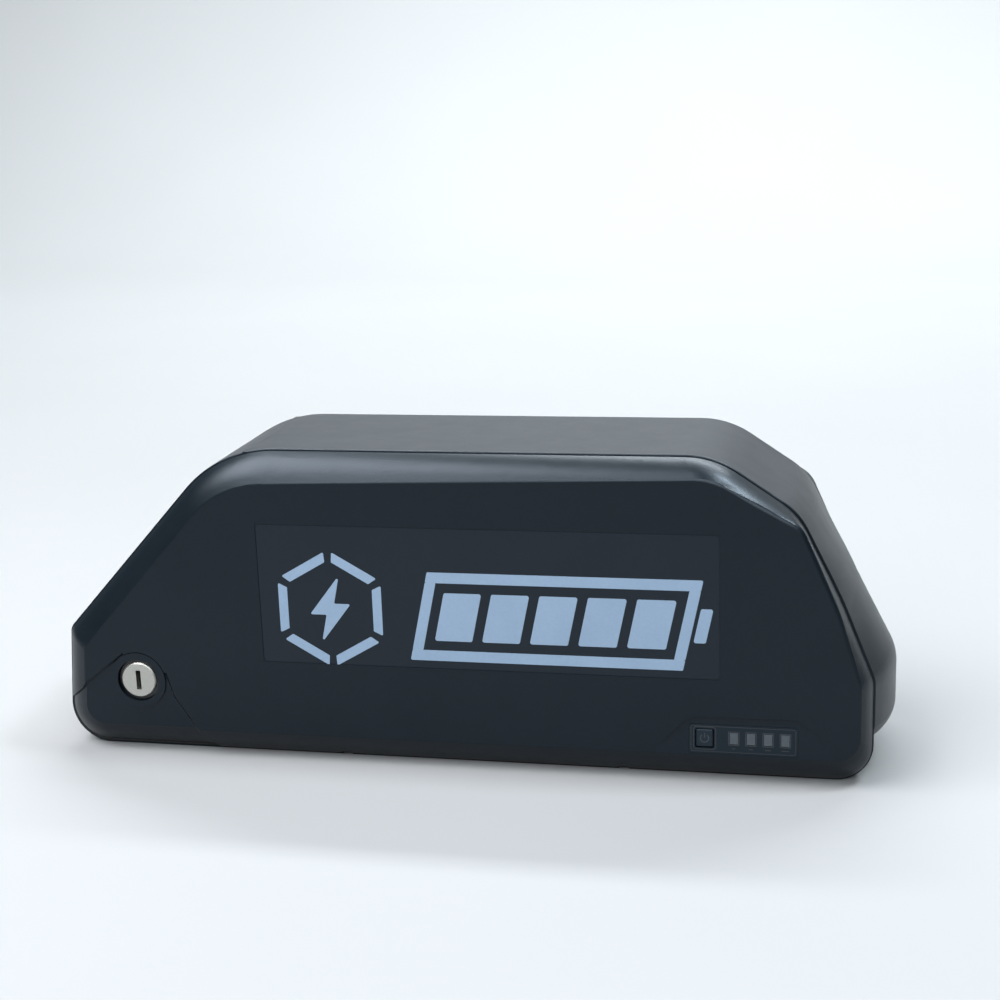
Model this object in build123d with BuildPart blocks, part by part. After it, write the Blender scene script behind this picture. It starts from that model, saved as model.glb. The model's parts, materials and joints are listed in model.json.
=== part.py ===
from build123d import *
import math
import os

# Removable e-bike battery pack: a centre shell between two side covers, 65 cells inside.
# X runs along the pack, the near side cover faces -Y, Z is up, the underside is at Z = 0.
os.makedirs("parts", exist_ok=True)

# Case, in millimetres
face_y = 46.0            # flat faces of the side covers
seam_y = 36.0            # seams between shell and covers
seal_half = 0.3          # half of the seal's thickness
shell_y = seam_y - seal_half
cover_y = seam_y + seal_half
top_z = 136.0
wall = 2.5
floor_z = 14.0           # inner floor of the shell
edge_round = 0.5         # edges of the shell at the seams
seam_step = 0.8          # how far the covers sit inside the shell's outline
gasket_outer = 1.2       # seal, measured inwards from the shell's outline
gasket_width = 1.2
face_round = 2.0         # edges round the flat faces of the covers
band_depth = 3.2         # depth below the face at which the sloped band changes its slope
band_share = 0.5         # part of the band's width reached at that depth

# Outline at the seam, as corner x, corner z, corner radius
seam_outline = [
    (-181.6, 0.0, 17.5),
    (-177.0, 53.6, 6.0),
    (-101.2, top_z, 56.0),
    (106.8, top_z, 38.0),
    (140.6, 113.3, 29.0),
    (157.9, 78.3, 200.0),
    (171.5, 44.0, 14.0),
    (171.5, 0.0, 16.0),
]
# Outline at mid width, where the right end bulges into a nose
nose_outline = seam_outline[:4] + [
    (143.4, 111.4, 28.0),
    (162.0, 78.6, 160.0),
    (180.0, 44.4, 16.0),
    (180.0, 0.0, 16.0),
]
# Border of the flat face of a side cover
face_outline = [
    (-169.2, 12.0, 8.0),
    (-166.3, 48.0, 5.0),
    (-99.4, 122.4, 45.0),
    (106.0, 128.4, 20.0),
    (143.4, 108.2, 7.0),
    (157.3, 73.9, 120.0),
    (165.6, 44.5, 9.0),
    (165.6, 12.4, 10.0),
]

# Nose underside
nose_plan_radius = 79.0
nose_axis_x = 101.0
nose_round = 9.0
nose_low_z = 15.5
nose_cut_inner = 50.0    # radii between which the nose underside is cut
nose_cut_outer = 95.0
recess_x = 171.2
recess_end = 196.0

# Cells
cell_radius = 9.15
cell_length = 65.0
cell_pitch = 19.4
cell_rows = 5
cell_columns = 13
row_rise = cell_pitch * math.sqrt(3) / 2
first_cell_x = -104.0
first_cell_z = 26.0
nub_radius = 3.0
nub_height = 0.6
holder_inner_y = 22.5
holder_outer_y = 32.3
strip_thickness = 0.2
strip_width = 8.0
holder_hex = 11.4        # corner radius of the hexagon round each cell
holder_gap = 0.15
sheet_y = 33.3
sheet_thickness = 0.6

# Tie screws through the whole pack, x and z, with the direction of the rib to the wall
ties = [
    (-160.0, 21.0, "down"),
    (-121.5, 18.0, "down"),
    (-140.0, 66.0, "left"),
    (-90.0, 112.0, "up"),
    (8.0, 119.8, "up"),
    (102.0, 121.0, "up"),
    (153.0, 64.0, "right"),
    (158.5, 20.0, "down"),
]
tie_hole_radius = 2.25
tie_radius = 2.0
tie_column_radius = 4.5
tie_head_radius = 3.5
tie_head_height = 2.6
tie_seat_y = 43.0
tie_tip_y = -42.0
insert_radius = 2.9
insert_depth = 6.0
insert_front_y = -36.6
tie_rib = 2.0
left_wall_x = -162.5     # where the sideways ribs meet the end walls
right_wall_x = 161.5

# Lock
lock_x = -142.65
lock_z = 33.7
lock_hole_radius = 9.5
lock_face_y = -45.3
plug_radius = 7.95
plug_bore_radius = 8.0
housing_nose_radius = 9.2   # front ring of the housing, inside the cover's hole
housing_nose_y = -43.9
housing_flange_radius = 13.0
housing_ear_width = 9.0
collar_radius = 12.6
facet_ring_radius = 13.0
facet_step = 0.9
facet_shift = (0.3, facet_step, 0.6)
facet_border_slope = 50.0
lock_screw_dx = 14.5
lock_screw_radius = 1.0
lock_screw_hole = 1.25
lock_seat_y = -41.0      # back of the cover's ring, where the housing flange rests
flange_y = -39.0
housing_radius = 10.5
housing_back_y = -12.6
plug_back_y = -17.9
neck_radius = 5.0        # thinner rear part of the lock cylinder
neck_bore_radius = 5.06
cam_front_y = -12.0
cam_back_y = -9.6
cam_radius = 8.0
keyway_width = 2.2
keyway_height = 8.7
keyway_depth = 18.0
pin_throw = 5.0
pin_radius = 1.5
bolt_travel = pin_throw * math.sqrt(2)

# Locking bolt, under the crank pin
bolt_low_z = 2.0
bolt_high_z = 36.0
bolt_front_y = -9.2
bolt_back_y = -3.2
bolt_left = 4.0
bolt_right = 9.0
bolt_gap = 0.3
bolt_slot_start = 1.4    # crank slot in the bolt
bolt_slot_end = 7.2
bolt_slot_half = 1.8
guide_wall = 3.0
guide_high_z = 21.0

# Indicator
facet_depth = 1.3
facet_low_z = 12.2
facet_high_z = 29.4
indicator_x = 119.25
indicator_z = 19.35
facet_tilt = math.atan2(facet_depth, facet_high_z - facet_low_z)
indicator_y = -face_y + facet_depth * (indicator_z - facet_low_z) / (facet_high_z - facet_low_z)
label_length = 44.0
label_height = 12.3
label_round = 1.2
label_sink = 0.2
label_thickness = 0.3
button_x = -15.65
button_dz = 0.25         # button centre above the label's centre
button_width = 7.0
button_height = 7.4
button_gap = 0.35
button_opening_width = button_width + 2 * button_gap
button_opening_height = button_height + 2 * button_gap
lamp_first_x = -3.8
lamp_pitch = 6.93
lamp_width = 3.6
lamp_height = 5.0
lamp_z = 0.55
lamp_places = [(lamp_first_x + lamp_pitch * index, lamp_z) for index in range(4)]
board_length = 49.0
board_width = 13.0
board_screw_places = [(-22.6, 0.0), (22.6, 0.0)]
backing_left = 94.0       # block behind the indicator
backing_right = 144.5
backing_low_z = 10.5
backing_high_z = 28.0
backing_back_y = -41.4
board_depth = 7.8
board_thickness = 1.2

# Decal
decal_left = -84.0
decal_right = 110.0
decal_low_z = 45.0
decal_high_z = 106.0
decal_sink = 0.25
decal_thickness = 0.12
decal_gap = 0.3          # between the decal and the edge of its pocket

# Underside
channel_half = 25.0
channel_depth = 9.0
channel_left = -165.0
channel_right = 155.0
lug_x = [-52.2, 68.8]
notch_width = 4.4
notch_height = 2.3
notch_pad_half = 5.0      # half length of the thick spot in the cover over each notch
beam_first_x = -148.0     # cored side beams beside the rail channel
beam_pitch = 58.0
beam_length = 54.0
beam_inner_y = 27.6
beam_outer_y = 40.0
beam_low_z = 4.0
beam_high_z = 11.2
lug_pocket_half = 9.0
lug_pocket_top = 12.4
lead_slot = (149.4, 154.8, 16.0)   # opening for the output leads: two x values and half its width
plate_low_z = 7.5
rail_screw_x = [-112.0, 8.0, 116.0]
rail_screw_y = [-18.0, 18.0]
keyhole_radius = 7.5
keyhole_slot = 4.2
keyhole_run = 20.0

# Charge socket on the far cover
charge_x = 135.0
charge_z = 32.0
cap_pivot_dx = 10.5
cap_pivot_y = 45.0
cap_anchor_dx = 13.5     # anchor stem, measured from the socket's centre
charge_seat_y = 43.8     # floor of the recess round the charge socket
charge_back_y = 40.6     # back of the cover's boss
charge_sleeve_radius = 4.0


def inset(outline, distance):
    """Move each side of a clockwise outline inwards and shrink its corner radii to match."""
    count = len(outline)
    moved = []
    for index in range(count):
        x0, z0, _ = outline[index]
        x1, z1, _ = outline[(index + 1) % count]
        length = math.hypot(x1 - x0, z1 - z0)
        normal = ((z1 - z0) / length, -(x1 - x0) / length)
        moved.append((x0 + normal[0] * distance, z0 + normal[1] * distance, x1 - x0, z1 - z0))
    corners = []
    for index in range(count):
        ax, az, adx, adz = moved[index - 1]
        bx, bz, bdx, bdz = moved[index]
        cross = adx * bdz - adz * bdx
        along = ((bx - ax) * bdz - (bz - az) * bdx) / cross
        radius = max(outline[index][2] - distance, 1.0)
        corners.append((ax + adx * along, az + adz * along, radius))
    return corners


def between(first, second, share):
    """Outline part of the way from one outline to another with the same corners."""
    return [tuple(a + (b - a) * share for a, b in zip(one, two)) for one, two in zip(first, second)]


def with_floor(outline, height):
    """Raise the two bottom corners of an outline to the given height."""
    raised = list(outline)
    left_x, left_z, left_radius = raised[0]
    next_x, next_z, _ = raised[1]
    lean = (next_x - left_x) / (next_z - left_z)
    raised[0] = (left_x + lean * (height - left_z), height, 6.0)
    raised[-1] = (raised[-1][0], height, 6.0)
    return raised


def outline_face(outline, y):
    """Closed face of an outline in the plane at the given y."""
    with BuildSketch(Plane.XZ.offset(-y)) as face:
        with BuildLine():
            FilletPolyline(
                *[(x, z) for x, z, _ in outline],
                radius=[radius for _, _, radius in outline],
                close=True,
            )
        make_face()
    return face.sketch


def block(x0, y0, z0, x1, y1, z1, mode=Mode.ADD):
    """Box between two corners."""
    with Locations(((x0 + x1) / 2, (y0 + y1) / 2, (z0 + z1) / 2)):
        Box(abs(x1 - x0), abs(y1 - y0), abs(z1 - z0), mode=mode)


def rod(x, z, radius, y0, y1, mode=Mode.ADD):
    """Cylinder along Y between y0 and y1."""
    with Locations(Location((x, (y0 + y1) / 2, z), (90, 0, 0))):
        Cylinder(radius, abs(y1 - y0), mode=mode)


def post(x, y, radius, z0, z1, mode=Mode.ADD):
    """Upright cylinder between z0 and z1."""
    with Locations((x, y, (z0 + z1) / 2)):
        Cylinder(radius, abs(z1 - z0), mode=mode)


def save(builder, name):
    builder.part.label = name
    export_step(builder.part, f"parts/{name}.step")


# ---------------------------------------------------------------- centre shell
with BuildPart() as nose_cut:
    with BuildSketch(Plane.XZ) as nose_section:
        with BuildLine():
            Line((nose_cut_inner, -2), (nose_cut_inner, nose_low_z))
            Line((nose_cut_inner, nose_low_z), (nose_plan_radius - nose_round, nose_low_z))
            RadiusArc(
                (nose_plan_radius - nose_round, nose_low_z),
                (nose_plan_radius, nose_low_z + nose_round),
                -nose_round,
            )
            Line((nose_plan_radius, nose_low_z + nose_round), (nose_cut_outer, nose_low_z + nose_round))
            Line((nose_cut_outer, nose_low_z + nose_round), (nose_cut_outer, -2))
            Line((nose_cut_outer, -2), (nose_cut_inner, -2))
        make_face()
    revolve(axis=Axis.Z, revolution_arc=360)

with BuildPart() as recess_cut:
    recess_round = seam_outline[-1][2]
    with BuildSketch(Plane.XZ):
        with BuildLine():
            Line((recess_x - recess_round, -3), (recess_x - recess_round, 0))
            RadiusArc((recess_x - recess_round, 0), (recess_x, recess_round), -recess_round)
            Line((recess_x, recess_round), (recess_x, nose_low_z + nose_round))
            Line((recess_x, nose_low_z + nose_round), (recess_end, nose_low_z + nose_round))
            Line((recess_end, nose_low_z + nose_round), (recess_end, -3))
            Line((recess_end, -3), (recess_x - recess_round, -3))
        make_face()
    extrude(amount=shell_y + 5, both=True)
    add(Pos(nose_axis_x, 0, 0) * nose_cut.part, mode=Mode.INTERSECT)

with BuildPart() as centre_shell:
    loft(
        sections=[
            outline_face(seam_outline, -shell_y),
            outline_face(nose_outline, 0),
            outline_face(seam_outline, shell_y),
        ]
    )
    end_faces = centre_shell.faces().filter_by(GeomType.PLANE).sort_by(Axis.Y)
    fillet(end_faces[0].edges() + end_faces[-1].edges(), radius=edge_round)
    add(recess_cut.part, mode=Mode.SUBTRACT)
    inner_seam = with_floor(inset(seam_outline, wall), floor_z)
    inner_nose = with_floor(inset(nose_outline, wall), floor_z)
    loft(
        sections=[
            outline_face(inner_seam, -shell_y - 0.4),
            outline_face(inner_nose, 0),
            outline_face(inner_seam, shell_y + 0.4),
        ],
        mode=Mode.SUBTRACT,
    )
    # rail channel, its lug pockets and the drain notches
    block(channel_left, -channel_half, -1, channel_right, channel_half, channel_depth, Mode.SUBTRACT)
    for x in lug_x:
        pocket_end = x + keyhole_run + 7
        block(
            x - lug_pocket_half,
            -lug_pocket_half,
            channel_depth,
            pocket_end,
            lug_pocket_half,
            lug_pocket_top,
            Mode.SUBTRACT,
        )
        block(x - notch_width / 2, -60, -1, x + notch_width / 2, 60, notch_height, Mode.SUBTRACT)
    # cored side beams
    for index in range(5):
        x = beam_first_x + index * beam_pitch
        for y0, y1 in [(-beam_outer_y, -beam_inner_y), (beam_inner_y, beam_outer_y)]:
            block(x, y0, beam_low_z, x + beam_length, y1, beam_high_z, Mode.SUBTRACT)
    # columns for the tie screws, each with a rib to the wall
    for x, z, side in ties:
        rod(x, z, tie_column_radius, -shell_y, shell_y)
        half = tie_rib / 2
        if side == "down":
            block(x - half, -shell_y, floor_z - 1, x + half, shell_y, z)
        if side == "up":
            block(x - half, -shell_y, z, x + half, shell_y, top_z - 1.5)
        if side == "left":
            block(left_wall_x, -shell_y, z - half, x, shell_y, z + half)
        if side == "right":
            block(x, -shell_y, z - half, right_wall_x, shell_y, z + half)
    for x, z, _ in ties:
        rod(x, z, tie_hole_radius, -shell_y - 1, shell_y + 1, Mode.SUBTRACT)
    # guide for the locking bolt
    block(
        lock_x - bolt_left - guide_wall,
        bolt_front_y - guide_wall,
        floor_z - 1,
        lock_x + bolt_right + guide_wall,
        bolt_back_y + guide_wall,
        guide_high_z,
    )
    block(
        lock_x - bolt_left - bolt_gap,
        bolt_front_y - bolt_gap,
        channel_depth - 1,
        lock_x + bolt_right + bolt_gap,
        bolt_back_y + bolt_gap,
        guide_high_z + 1,
        Mode.SUBTRACT,
    )
    # opening for the output leads and pilot holes for the rail plate
    slot_x0, slot_x1, slot_half = lead_slot
    block(slot_x0, -slot_half, channel_depth - 1, slot_x1, slot_half, floor_z + 1, Mode.SUBTRACT)
    for x in rail_screw_x:
        for y in rail_screw_y:
            post(x, y, 1.3, channel_depth - 1, channel_depth + 4, Mode.SUBTRACT)
save(centre_shell, "centre_shell")


# ---------------------------------------------------------------- side covers
def cover_shell(shift=(0, 0, 0)):
    """Solid outer body of the near side cover, moved by a small shift."""
    dx, dy, dz = shift
    face = [(x + dx, z + dz, radius) for x, z, radius in face_outline]
    seam = [(x + dx, z + dz, radius) for x, z, radius in inset(seam_outline, seam_step)]
    with BuildPart() as body:
        loft(
            sections=[
                outline_face(face, -face_y + dy),
                outline_face(between(face, seam, band_share), -face_y + band_depth + dy),
                outline_face(seam, -cover_y + dy),
            ]
        )
    return body.part


def cover_cavity():
    """Inside of the near side cover."""
    with BuildPart() as body:
        loft(
            sections=[
                outline_face(inset(face_outline, wall), -face_y + wall),
                outline_face(inset(seam_outline, wall), -cover_y + 0.2),
            ]
        )
        for x in lug_x:
            block(
                x - notch_pad_half,
                -face_y,
                -1,
                x + notch_pad_half,
                -cover_y + 1,
                notch_height + wall,
                Mode.SUBTRACT,
            )
    return body.part


indicator_plane = Plane(
    origin=(indicator_x, indicator_y, indicator_z),
    x_dir=(1, 0, 0),
    z_dir=(0, -math.cos(facet_tilt), math.sin(facet_tilt)),
)

lock_facet = [
    (-192, 11),
    (-149.1, 44.8),
    (lock_x, lock_z),
    (-129.9, 36.8),
    (-127.0, 26.8),
    (-118.4, 13.7),
    (-108.0, -1.5),
    (-192, -1.5),
]
with BuildPart() as lock_facet_cut:
    with BuildSketch(Plane.XZ.offset(face_y + 2)):
        with BuildLine():
            Polyline(*lock_facet, close=True)
        make_face()
        with Locations((lock_x, lock_z)):
            Circle(facet_ring_radius)
    extrude(amount=-(face_y + 2 - cover_y + 0.5))
    add(cover_shell(facet_shift), mode=Mode.SUBTRACT)

with BuildPart() as lock_facet_border:
    with BuildSketch(Plane.XZ.offset(face_y - facet_step)):
        with BuildLine():
            Polyline(*lock_facet, close=True)
        make_face()
    extrude(amount=facet_step + 0.1, taper=-facet_border_slope)

with BuildPart() as indicator_facet_cut:
    with BuildSketch(Plane.XZ.offset(face_y + 2)):
        with BuildLine():
            Polyline(
                (83.2, facet_low_z),
                (84.1, 15.1),
                (95.7, 27.3),
                (99.5, 28.8),
                (137.5, facet_high_z),
                (141.5, 28.9),
                (149.7, 22.6),
                (155.0, facet_low_z),
                close=True,
            )
        make_face()
    extrude(amount=-6)
    split(bisect_by=indicator_plane, keep=Keep.TOP)

with BuildPart() as cover_near:
    add(cover_shell())
    near_face = cover_near.faces().filter_by(GeomType.PLANE).sort_by(Axis.Y)[0]
    fillet(near_face.edges(), radius=face_round)
    add(lock_facet_cut.part, mode=Mode.SUBTRACT)
    add(lock_facet_border.part, mode=Mode.SUBTRACT)
    add(indicator_facet_cut.part, mode=Mode.SUBTRACT)
    add(cover_cavity(), mode=Mode.SUBTRACT)
    # raised collar round the lock, with a stiff ring behind it
    rod(lock_x, lock_z, collar_radius, -face_y + 0.15, -face_y + wall + 1.5)
    rod(lock_x, lock_z, lock_hole_radius + 3.6, -face_y + wall, lock_seat_y - 0.2)
    rod(lock_x, lock_z, lock_hole_radius, -face_y - 1, lock_seat_y, Mode.SUBTRACT)
    for x in [lock_x - lock_screw_dx, lock_x + lock_screw_dx]:
        rod(x, lock_z, 2.8, -face_y + wall - 0.5, lock_seat_y - 0.2)
        rod(x, lock_z, lock_screw_radius, -43.2, lock_seat_y, Mode.SUBTRACT)
    # bosses that take the threaded inserts
    for x, z, _ in ties:
        rod(x, z, tie_column_radius + 0.2, -face_y + wall - 0.6, -cover_y)
        rod(x, z, insert_radius + 0.05, insert_front_y - insert_depth, -cover_y + 1, Mode.SUBTRACT)
    # block behind the indicator, with the openings for label, button and lamps
    block(backing_left, -face_y + wall - 1, backing_low_z, backing_right, backing_back_y, backing_high_z)
    with BuildSketch(indicator_plane.offset(1)):
        RectangleRounded(label_length + 0.4, label_height + 0.4, label_round)
    extrude(amount=-(1 + label_sink), mode=Mode.SUBTRACT)
    with BuildSketch(indicator_plane.offset(1)):
        with Locations((button_x, button_dz)):
            RectangleRounded(button_opening_width, button_opening_height, 0.8)
        with Locations(lamp_places):
            Rectangle(lamp_width, lamp_height)
    extrude(amount=-7, mode=Mode.SUBTRACT)
    with BuildSketch(indicator_plane.offset(-board_depth)):
        with Locations(board_screw_places):
            Circle(1.9)
    extrude(amount=5)
    with BuildSketch(indicator_plane.offset(-board_depth)):
        with Locations(board_screw_places):
            Circle(0.9)
    extrude(amount=4, mode=Mode.SUBTRACT)
    # shallow pocket for the decal
    block(
        decal_left,
        -face_y - 1,
        decal_low_z,
        decal_right,
        -face_y + decal_sink,
        decal_high_z,
        Mode.SUBTRACT,
    )
    # drain notches
    for x in lug_x:
        block(x - notch_width / 2, -60, -1, x + notch_width / 2, 0, notch_height, Mode.SUBTRACT)
save(cover_near, "cover_near")

with BuildPart() as cover_far:
    add(mirror(cover_shell(), about=Plane.XZ))
    far_face = cover_far.faces().filter_by(GeomType.PLANE).sort_by(Axis.Y)[-1]
    fillet(far_face.edges(), radius=face_round)
    add(mirror(cover_cavity(), about=Plane.XZ), mode=Mode.SUBTRACT)
    for x, z, _ in ties:
        rod(x, z, tie_column_radius + 0.2, cover_y, face_y - wall + 0.6)
        rod(x, z, tie_hole_radius, cover_y - 1, face_y + 1, Mode.SUBTRACT)
        rod(x, z, tie_head_radius + 0.4, tie_seat_y, face_y + 1, Mode.SUBTRACT)
    # charge socket seat
    boss_front_y = face_y - wall + 0.5
    rod(charge_x, charge_z, 12.0, charge_back_y, boss_front_y)
    block(charge_x, charge_back_y, charge_z - 6, charge_x + 18, boss_front_y, charge_z + 6)
    rod(charge_x, charge_z, 9.0, charge_seat_y, face_y + 1, Mode.SUBTRACT)
    block(charge_x, charge_seat_y, charge_z - 4, charge_x + 16, face_y + 1, charge_z + 4, Mode.SUBTRACT)
    rod(charge_x, charge_z, charge_sleeve_radius + 0.15, 40, face_y, Mode.SUBTRACT)
    rod(charge_x + cap_anchor_dx, charge_z, 1.3, 40, face_y, Mode.SUBTRACT)
    for x in lug_x:
        block(x - notch_width / 2, 0, -1, x + notch_width / 2, 60, notch_height, Mode.SUBTRACT)
save(cover_far, "cover_far")

# ---------------------------------------------------------------- seals, tie screws, inserts
for name, y0, y1 in [("gasket_near", -cover_y, -shell_y), ("gasket_far", shell_y, cover_y)]:
    with BuildPart() as gasket:
        extrude(outline_face(inset(seam_outline, gasket_outer), y1), amount=y1 - y0)
        extrude(outline_face(inset(seam_outline, gasket_outer + gasket_width), y1), amount=y1 - y0, mode=Mode.SUBTRACT)
        # the seal rises over each notch
        for x in lug_x:
            notch_half = notch_width / 2
            arch_half = notch_half + gasket_width
            block(x - arch_half, y0, gasket_outer, x + arch_half, y1, notch_height + 0.1 + gasket_width)
            block(x - notch_half, y0 - 1, -1, x + notch_half, y1 + 1, notch_height + 0.1, Mode.SUBTRACT)
    save(gasket, name)

with BuildPart() as tie_screws:
    for x, z, _ in ties:
        rod(x, z, tie_radius, tie_tip_y, tie_seat_y)
        rod(x, z, tie_head_radius, tie_seat_y, tie_seat_y + tie_head_height)
        with BuildSketch(Plane.XZ.offset(-(tie_seat_y + tie_head_height))):
            with Locations((x, z)):
                RegularPolygon(1.7, 6)
        extrude(amount=1.6, mode=Mode.SUBTRACT)
save(tie_screws, "tie_screws")

with BuildPart() as threaded_inserts:
    for x, z, _ in ties:
        rod(x, z, insert_radius, insert_front_y - insert_depth, insert_front_y)
        rod(x, z, tie_radius + 0.05, insert_front_y - insert_depth - 1, insert_front_y + 1, Mode.SUBTRACT)
save(threaded_inserts, "threaded_inserts")

# ---------------------------------------------------------------- lock
with BuildPart() as lock_housing:
    rod(lock_x, lock_z, housing_nose_radius, housing_nose_y, lock_seat_y)
    with BuildSketch(Plane.XZ.offset(-lock_seat_y)):
        with Locations((lock_x, lock_z)):
            SlotCenterToCenter(2 * lock_screw_dx, housing_ear_width)
            Circle(housing_flange_radius)
    extrude(amount=lock_seat_y - flange_y)
    rod(lock_x, lock_z, housing_radius, flange_y, housing_back_y)
    rod(lock_x, lock_z, plug_bore_radius, housing_nose_y - 1, plug_back_y + 0.4, Mode.SUBTRACT)
    rod(lock_x, lock_z, neck_bore_radius, plug_back_y - 0.1, cam_front_y, Mode.SUBTRACT)
    for x in [lock_x - lock_screw_dx, lock_x + lock_screw_dx]:
        rod(x, lock_z, lock_screw_hole, lock_seat_y - 1, flange_y + 1, Mode.SUBTRACT)
save(lock_housing, "lock_housing")

with BuildPart() as lock_screws:
    for x in [lock_x - lock_screw_dx, lock_x + lock_screw_dx]:
        rod(x, lock_z, lock_screw_radius, -43.0, flange_y)
        rod(x, lock_z, 1.9, flange_y, -37.6)
        block(x - 1.4, -38.2, lock_z - 0.3, x + 1.4, -37.0, lock_z + 0.3, Mode.SUBTRACT)
save(lock_screws, "lock_screws")

with BuildPart() as lock_cylinder:
    rod(lock_x, lock_z, plug_radius, lock_face_y, plug_back_y)
    front_edge = lock_cylinder.edges().filter_by(GeomType.CIRCLE).sort_by(Axis.Y)[0]
    chamfer(front_edge, length=0.5)
    rod(lock_x, lock_z, neck_radius, plug_back_y, cam_front_y)
    block(
        lock_x - keyway_width / 2,
        lock_face_y - 1,
        lock_z - keyway_height / 2,
        lock_x + keyway_width / 2,
        lock_face_y + keyway_depth,
        lock_z + keyway_height / 2,
        Mode.SUBTRACT,
    )
    rod(lock_x, lock_z, 1.25, -18.0, -11.5, Mode.SUBTRACT)
save(lock_cylinder, "lock_cylinder")

pin_x = lock_x + pin_throw / math.sqrt(2)
pin_z = lock_z - pin_throw / math.sqrt(2)
with BuildPart() as lock_cam:
    rod(lock_x, lock_z, cam_radius, cam_front_y, cam_back_y)
    rod(pin_x, pin_z, pin_radius, cam_back_y, bolt_back_y + 0.5)
    rod(lock_x, lock_z, 1.5, -12.5, -9.0, Mode.SUBTRACT)
    with Locations(Location((lock_x, -10.3, lock_z), (90, 0, 0))):
        Cone(2.6, 1.5, 1.4, mode=Mode.SUBTRACT)
save(lock_cam, "lock_cam")

with BuildPart() as cam_screw:
    rod(lock_x, lock_z, 1.2, -17.0, -10.0)
    with Locations(Location((lock_x, -10.35, lock_z), (90, 0, 0))):
        Cone(2.3, 1.2, 1.2)
save(cam_screw, "cam_screw")

with BuildPart() as lock_bolt:
    block(lock_x - bolt_left, bolt_front_y, bolt_low_z, lock_x + bolt_right, bolt_back_y, bolt_high_z)
    chamfer(lock_bolt.faces().sort_by(Axis.Z)[0].edges(), length=0.8)
    block(
        lock_x + bolt_slot_start,
        bolt_front_y - 1,
        pin_z - bolt_slot_half,
        lock_x + bolt_slot_end,
        bolt_back_y + 1,
        pin_z + bolt_slot_half,
        Mode.SUBTRACT,
    )
save(lock_bolt, "lock_bolt")

# ---------------------------------------------------------------- indicator and power button
with BuildPart() as indicator_label:
    with BuildSketch(indicator_plane.offset(-label_sink)):
        RectangleRounded(label_length, label_height, label_round)
        with Locations((button_x, button_dz)):
            RectangleRounded(button_opening_width, button_opening_height, 0.8, mode=Mode.SUBTRACT)
        with Locations(lamp_places):
            Rectangle(lamp_width, lamp_height, mode=Mode.SUBTRACT)
    extrude(amount=label_thickness)
save(indicator_label, "indicator_label")

with BuildPart() as light_guides:
    with BuildSketch(indicator_plane.offset(-6.2)):
        with Locations(lamp_places):
            Rectangle(lamp_width - 0.2, lamp_height - 0.2)
    extrude(amount=6.2)
save(light_guides, "light_guides")

with BuildPart() as power_button:
    with BuildSketch(indicator_plane.offset(-4.4)):
        with Locations((button_x, button_dz)):
            RectangleRounded(button_width, button_height, 0.6)
    extrude(amount=4.65)
    chamfer(power_button.faces().sort_by(Axis.Y)[0].edges(), length=0.4)
    with BuildSketch(indicator_plane.offset(-5.1)):
        with Locations((button_x, button_dz)):
            RectangleRounded(button_width + 1.8, button_height + 1.8, 0.8)
    extrude(amount=0.7)
    with BuildSketch(indicator_plane.offset(-6.4)):
        with Locations((button_x, button_dz)):
            Circle(1.4)
    extrude(amount=1.4)
save(power_button, "power_button")

with BuildPart() as power_switch:
    with BuildSketch(indicator_plane.offset(-board_depth)):
        with Locations((button_x, button_dz)):
            RectangleRounded(6.0, 6.0, 0.4)
    extrude(amount=1.3)
    with BuildSketch(indicator_plane.offset(-6.3)):
        with Locations((button_x, button_dz)):
            Circle(1.9)
    extrude(amount=-1.2, mode=Mode.SUBTRACT)
save(power_switch, "power_switch")

with BuildPart() as indicator_board:
    with BuildSketch(indicator_plane.offset(-board_depth - board_thickness)):
        RectangleRounded(board_length, board_width, 1.0)
        with Locations(board_screw_places):
            Circle(1.1, mode=Mode.SUBTRACT)
    extrude(amount=board_thickness)
save(indicator_board, "indicator_board")

with BuildPart() as indicator_lamps:
    with BuildSketch(indicator_plane.offset(-board_depth)):
        with Locations(lamp_places):
            Rectangle(2.0, 3.2)
    extrude(amount=1.1)
save(indicator_lamps, "indicator_lamps")

with BuildPart() as board_screws:
    for place in board_screw_places:
        for radius, length in [(1.7, -1.1), (0.85, 4.6)]:
            with BuildSketch(indicator_plane.offset(-board_depth - board_thickness)):
                with Locations(place):
                    Circle(radius)
            extrude(amount=length)
save(board_screws, "board_screws")

with BuildPart() as side_decal:
    block(
        decal_left + decal_gap,
        -face_y + decal_sink - decal_thickness,
        decal_low_z + decal_gap,
        decal_right - decal_gap,
        -face_y + decal_sink,
        decal_high_z - decal_gap,
    )
    fillet(side_decal.edges().filter_by(Axis.Y), radius=2.0)
save(side_decal, "side_decal")


# ---------------------------------------------------------------- cells, holders, strips
def cell_place(column, row):
    """Centre of a cell: rows are offset by half a pitch in turn."""
    x = first_cell_x + column * cell_pitch + (row % 2) * cell_pitch / 2
    return x, first_cell_z + row * row_rise


for row in range(cell_rows):
    with BuildPart() as cell_row:
        for column in range(cell_columns):
            facing = 1 if column % 2 == 0 else -1
            end_y = facing * cell_length / 2
            x, z = cell_place(column, row)
            rod(x, z, cell_radius, -end_y, end_y - facing * nub_height)
            rod(x, z, nub_radius, end_y - facing * nub_height, end_y)
    save(cell_row, f"cell_row_{row + 1}")

every_cell = [cell_place(column, row) for column in range(cell_columns) for row in range(cell_rows)]
for name, back_y in [("cell_holder_near", -holder_inner_y), ("cell_holder_far", holder_outer_y)]:
    with BuildPart() as holder:
        with BuildSketch(Plane.XZ.offset(-back_y)):
            with Locations(every_cell):
                RegularPolygon(holder_hex, 6, rotation=30)
            with Locations(every_cell):
                Circle(cell_radius + holder_gap, mode=Mode.SUBTRACT)
        extrude(amount=holder_outer_y - holder_inner_y)
    save(holder, name)


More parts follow.
